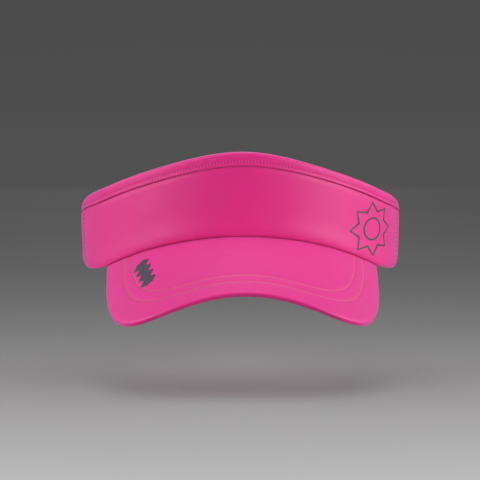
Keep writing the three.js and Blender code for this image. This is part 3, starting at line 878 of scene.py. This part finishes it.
def makeSunMark():
    def star(shrink):
        angle = np.arange(2 * sunMark["rays"]) * math.pi / sunMark["rays"]
        radius = np.tile([sunMark["outerRadius"], sunMark["innerRadius"]], sunMark["rays"]) - shrink
        corners = np.stack([radius * np.cos(angle), radius * np.sin(angle)], 1)
        after = np.roll(corners, -1, 0)
        steps = np.linspace(0, 1, 7)[:-1, None]
        return np.concatenate([a + (b - a) * steps for a, b in zip(corners, after)])

    def circle(radius):
        angle = np.linspace(0, 2 * math.pi, 72, endpoint=False)
        return np.stack([radius * np.cos(angle), radius * np.sin(angle)], 1)

    high, low = filmDepths
    rays = ringSolid("sunRaysFilm", star(0), star(sunMark["rayShrink"]), onPanel, low, high, darkFilm)
    ring = ringSolid("sunRingFilm", circle(sunMark["ring"]), circle(sunMark["ring"] - sunMark["line"]),
                     onPanel, low, high, darkFilm)
    for obj, node in ((rays, "side_mark_rays"), (ring, "side_mark_ring")):
        obj.data.polygons.foreach_set("use_smooth", [False] * len(obj.data.polygons))
        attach(obj, "crown")
        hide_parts(node)


def makeDiamondMark():
    look = diamondMark
    u = np.linspace(-look["length"] / 2, look["length"] / 2, 8 * look["diamonds"] + 1)[:, None]
    phase = np.abs(np.linspace(0, look["diamonds"], len(u)) % 1 - 0.5)[:, None] * 2  # 1 at the necks
    reach = (look["width"] * (1 - phase) + look["neck"] * phase) / 2
    v = np.linspace(-1, 1, 9) * reach
    u = np.broadcast_to(u, v.shape)
    cos, sin = math.cos(look["tilt"]), math.sin(look["tilt"])
    x, y = look["x"] + u * sin + v * cos, look["y"] - u * cos + v * sin
    top, bottom = brimPoint(x, y, filmDepths[0] - 0.06), brimPoint(x, y, 0.3)
    obj = sheetSolid("diamondFilm", top, bottom, (u, v), darkFilm)
    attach(obj, "crown")
    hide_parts("brim_mark")


makeSunMark()
makeDiamondMark()
print("scene: marks made")


# the back: straps, elastic, hook and loop
strap = dict(start=124, height=22, middle=-7.5)


def halfHeight(look, along):  # less towards a rounded tip, where there is one
    past = np.clip((along - look["end"]) * np.sign(look["start"] - look["end"]), 0, None)
    length, drop = look.get("tip", (1, 0))
    return look["height"] / 2 - drop * (1 - np.sqrt(1 - np.clip(1 - past / length, 0, 1) ** 2))


def stripGrid(look):  # rows of rounded outlines
    low, high = sorted((look["start"], look["end"]))
    round = (look["inner"] - look["outer"]) / 2
    along = endStations(low, high, look.get("step", 1.6), round)[:, None]
    share = endShare(along, low, high, round)
    half = halfHeight(look, along) - round * (1 - share)
    arc = np.linspace(0, math.pi, 7)
    count = 17
    rise = np.linspace(-1, 1, count)
    side = np.concatenate([-np.ones(count), -np.cos(arc)[1:-1], np.ones(count), np.cos(arc)[1:-1]])
    across = np.concatenate([rise, np.ones(5), rise[::-1], -np.ones(5)])
    lift = np.concatenate([np.zeros(count), np.sin(arc)[1:-1], np.zeros(count), -np.sin(arc)[1:-1]])
    height = strap["middle"] + across * (half - round) + lift * round * share
    depth = (look["inner"] + look["outer"]) / 2 + round * share * side
    inset = half - np.abs(height - strap["middle"])
    dent = look.get("dent", 0) * bell(inset, look.get("row", 2), 0.8)
    points = bandPoint(along, depth, height)
    wave = look.get("wave", 0.1) * unevenness(points, 9, 11)
    outward, leaves, arrives = look.get("drift", (0, 0, 1))
    depth = depth - side * dent + wave * share - outward * smooth(along, leaves, arrives)
    return along, depth, height


def makeStrip(name, look, material, replaced):
    along, depth, height = stripGrid(look)
    obj = sweptSolid(name, bandPoint(along, depth, height), (along, height), material)
    if look.get("rides"):
        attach(obj, look["rides"])
    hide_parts(*replaced)
    return obj


def edgeRows(look, ends, sides=(-1, 1)):  # one row of stitches inside each long edge
    low, high = sorted((look["start"], look["end"]))
    along = np.linspace(low + ends[0], high - ends[1], 80)
    paths = []
    for edge in (-1, 1):
        height = strap["middle"] + edge * (halfHeight(look, along) - look["row"])
        for side in sides:
            depth = look["outer"] + look["dent"] if side < 0 else look["inner"] - look["dent"]
            paths.append(bandPath(along, depth + side * 0.03, height, side))
    return paths


def crossRow(along, depth, reach):  # a row of stitches up a strap
    return bandPath(along, depth, strap["middle"] + np.linspace(-reach, reach, 12))


strapCloth = dict(height=strap["height"], outer=3.5, inner=6.0, row=2.2, dent=0.25, rides="crown")
leftStrap = dict(strapCloth, start=-strap["start"], end=leftAlong(24), tip=(6, 6))
rightStrap = dict(strapCloth, start=strap["start"], end=rightAlong(62))
makeStrip("leftStrapCloth", leftStrap, panelPolyester,
          ["left_strap_shell", "left_strap_interlining", "left_strap_lining"])
makeStrip("rightStrapCloth", rightStrap, panelPolyester,
          ["right_strap_shell", "right_strap_interlining", "right_strap_lining"])
strapRows = edgeRows(leftStrap, (4, 2)) + edgeRows(rightStrap, (2, 2))
strapRows += [crossRow(rightStrap["end"] - d, 3.72, 8.6) for d in (3, 10)]
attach(sewnRows("strapThread", strapRows, lockstitch), "crown")

# the elastic comes out from inside the strap to the tab: how far, and between which places
elastic = dict(start=rightAlong(66), end=rightAlong(27), height=19, outer=4.4, inner=5.2, step=1.2,
               drift=(4.6, rightAlong(62), rightAlong(31)),
               held="stretched", restsOn=["rightStrapCloth", "tabCloth"])
web = makeStrip("elasticWeb", elastic, elasticKnit, ["elastic_webbing"])
tuple(bandPoint(rightAlong(60), 4, 0) * mm)
tuple(bandPoint(rightAlong(32), 0, 0) * mm)
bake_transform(web)

loop = dict(start=leftAlong(21), end=leftAlong(-52), height=19, outer=2.3, inner=3.3, row=1.3, dent=0.12,
            rides="crown", wave=0.06, held="laid", restsOn=["leftStrapCloth"])
makeStrip("loopPatch", loop, loopTape, ["loop_patch"])
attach(sewnRows("loopThread", edgeRows(loop, (1.5, 1.5), (-1,)), lockstitch), "crown")

hinge = dict(degrees=12, halfBend=3.4)  # where the tab bends, and over how wide an arc
tab = dict(start=rightAlong(32), end=rightAlong(-38), height=20, outer=-0.5, inner=0.9, tip=(14, 7.5),
           row=2.2, dent=0.2, wave=0.08, step=0.9, held="laid", restsOn=["loopPatch"])
bendStart = tuple(bandPoint(rightAlong(hinge["degrees"] + hinge["halfBend"]), 0, 0) * mm)
bendEnd = tuple(bandPoint(rightAlong(hinge["degrees"] - hinge["halfBend"]), 0, 0) * mm)
tabPiece = makeStrip("tabCloth", tab, panelPolyester,
                     ["tab_root_shell", "tab_root_lining", "tab_shell", "tab_lining"])
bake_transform(tabPiece)
tabRows = edgeRows(tab, (2, 4)) + [crossRow(rightAlong(angle), -0.25, 7.6) for angle in (31, 27.5)]
tabThread = sewnRows("tabThread", tabRows, lockstitch)
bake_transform(tabThread)

hook = dict(start=rightAlong(8), end=rightAlong(-32), height=16, outer=1.0, inner=1.7, row=1.2, dent=0.1,
            rides="tab_end", wave=0.03, held="laid", restsOn=["tabCloth"])
makeStrip("hookPatch", hook, hookNylon, ["hook_patch"])


def patchPoints(look, side, spacing, seed):  # a jittered grid over one face of a patch
    low, high = sorted((look["start"], look["end"]))
    jitter = np.random.default_rng(seed)
    across = look["height"] / 2 - 1.4
    along, height = np.meshgrid(
        np.arange(low + 1.5, high - 1.5, spacing), np.arange(-across, across, spacing), indexing="ij")
    along = along + jitter.uniform(-0.35, 0.35, along.shape) * spacing
    height = strap["middle"] + height + jitter.uniform(-0.35, 0.35, height.shape) * spacing
    depth = look["outer"] if side < 0 else look["inner"]
    roots = bandPoint(along, depth - side * 0.08, height).reshape(-1, 3)
    return carrierObject([(roots, bandNormal(along).reshape(-1, 3) * -side)], joined=False)


# the nap of loops and the rows of hooks, fewer and thicker than real so that they show
loopPile = grownMesh("loopPile", patchPoints(loop, -1, 1.15, 3), pile, {
    "Size": (0.5 * mm,) * 3, "Crest": (0.4, 0.5, 1.6), "Tip": (0.9, 0.0, 0.0),
    "Seed": 3, "Fibre": loopTape})
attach(loopPile, "crown")
hookPile = grownMesh("hookPile", patchPoints(hook, 1, 1.6, 4), pile, {
    "Size": (0.36 * mm,) * 3, "Crest": (0.1, 0.0, 2.0), "Tip": (1.0, 0.0, 0.7),
    "Seed": 4, "Fibre": hookNylon})
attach(hookPile, "tab_end")

for name, node, degrees, width, height in (
        ("careLabel", "care_label", -58, 16, 14), ("sizeLabel", "size_label", -72, 9, 9)):
    centre = leftAlong(degrees)
    labelLook = dict(start=centre - width / 2, end=centre + width / 2, height=height, outer=6.15, inner=6.6,
                     rides="crown", wave=0.15, step=0.8, held="laid", restsOn=["leftStrapCloth"])
    makeStrip(name, labelLook, satinLabel, [node])
print("scene: back strap and closure made")


# floor, light and camera
studio = dict(floor=-88, distance=1800, elevation=5, azimuth=-1.3, lens=219.6, shiftY=-0.0345)

paperPaintedShadeGreys = [  # metres behind the visor's middle, and the paper's grey there: painted shade, darker towards the back where the light falls off, and set against the change in lighting where the paper starts to curve up
    (-0.6, "#cdcdcd"), (-0.36, "#b4b4b4"), (-0.25, "#a5a5a5"), (-0.14, "#999999"), (0.03, "#8c8c8c"),
    (0.18, "#747474"), (0.36, "#626262"), (0.57, "#535353"), (0.94, "#464646"), (1.2, "#454545"),
    (1.34, "#4f4f4f"), (1.52, "#6b6b6b"), (1.8, "#6f6f6f"), (2.2, "#6f6f6f"), (2.4, "#696969"),
    (2.9, "#676767")]


def makeStage():
    # backdrop paper, pale in front and greying softly behind the visor: the greying is painted shade for the
    # light falling off towards the back
    material, tree = newMaterial("paperPaintedFalloff")
    solid = addNode(tree, "ShaderNodeTexCoord").outputs["Object"]
    back = addNode(tree, "ShaderNodeSeparateXYZ", {0: solid}).outputs[1]
    first, last = paperPaintedShadeGreys[0][0], paperPaintedShadeGreys[-1][0]
    share = addNode(tree, "ShaderNodeMapRange", {"Value": back, "From Min": first, "From Max": last})
    ramp = addNode(tree, "ShaderNodeValToRGB", {0: share})
    stops = ramp.color_ramp.elements
    for place, code in paperPaintedShadeGreys[1:-1]:
        stops.new((place - first) / (last - first)).color = linear(code)
    stops[0].color, stops[-1].color = linear(paperPaintedShadeGreys[0][1]), linear(paperPaintedShadeGreys[-1][1])
    surface(tree, {"Base Color": ramp, "Roughness": 0.9})
    rows = [(-3000, 0), (-1000, 0), (0, 0), (1500, 0),  # how far back, and how high
            (2200, 60), (2800, 400), (3000, 1200), (3000, 4000)]
    points = [(x, y, studio["floor"] + z) for y, z in rows for x in (-5000, 5000)]
    faces = [(2 * i, 2 * i + 1, 2 * i + 3, 2 * i + 2) for i in range(len(rows) - 1)]
    floor = meshObject("floor", points, faces, np.zeros((len(points), 2)), material)


softBoxes = [  # name, place, width, height and watts
    ("leftBox", (-1.6, -0.8, 0.5), 1.0, 1.0, 14),
    ("leftHighBox", (-1.3, -0.8, 1.1), 1.0, 1.0, 4),
    ("leftRearBox", (-1.6, 0.3, 0.6), 1.0, 1.0, 8),
    ("rightBox", (1.6, -0.8, 0.5), 1.0, 1.0, 22),
    ("rightRearBox", (1.6, 0.3, 0.6), 1.0, 1.0, 8),
    ("backBox", (0, 1.4, 0.35), 0.8, 0.5, 2),
    ("topBox", (0, -0.2, 1.6), 1.0, 1.0, 5)]
skyStrength = 0.28
aim = Vector((0, -0.04, 0))


def makeLights():
    for name, place, width, height, power in softBoxes:
        data = bpy.data.lights.new(name, "AREA")
        data.shape = "RECTANGLE"
        data.size = width
        data.size_y = height
        data.energy = power
        obj = bpy.data.objects.new(name, data)
        obj.location = place
        obj.rotation_euler = (aim - Vector(place)).to_track_quat("-Z", "Y").to_euler()
        bpy.context.scene.collection.objects.link(obj)
    world = bpy.data.worlds.new("studio")
    world.use_nodes = True
    background = world.node_tree.nodes["Background"]
    background.inputs[0].default_value = linear("#ffffff")
    background.inputs[1].default_value = skyStrength
    bpy.context.scene.world = world


def makeCamera():
    data = bpy.data.cameras.new("camera")
    data.lens = studio["lens"]
    data.sensor_width = 36
    data.shift_y = studio["shiftY"]
    data.clip_start = 0.05
    data.clip_end = 50
    turn, tilt = math.radians(studio["azimuth"]), math.radians(studio["elevation"])
    back = Vector((math.sin(turn) * math.cos(tilt), -math.cos(turn) * math.cos(tilt), math.sin(tilt)))
    obj = bpy.data.objects.new("camera", data)
    obj.location = back * studio["distance"] * mm
    obj.rotation_euler = back.to_track_quat("Z", "Y").to_euler()
    bpy.context.scene.collection.objects.link(obj)
    bpy.context.scene.camera = obj


makeStage()
makeLights()
makeCamera()
bpy.context.scene.view_settings.view_transform = "Standard"

print("scene: stage made")
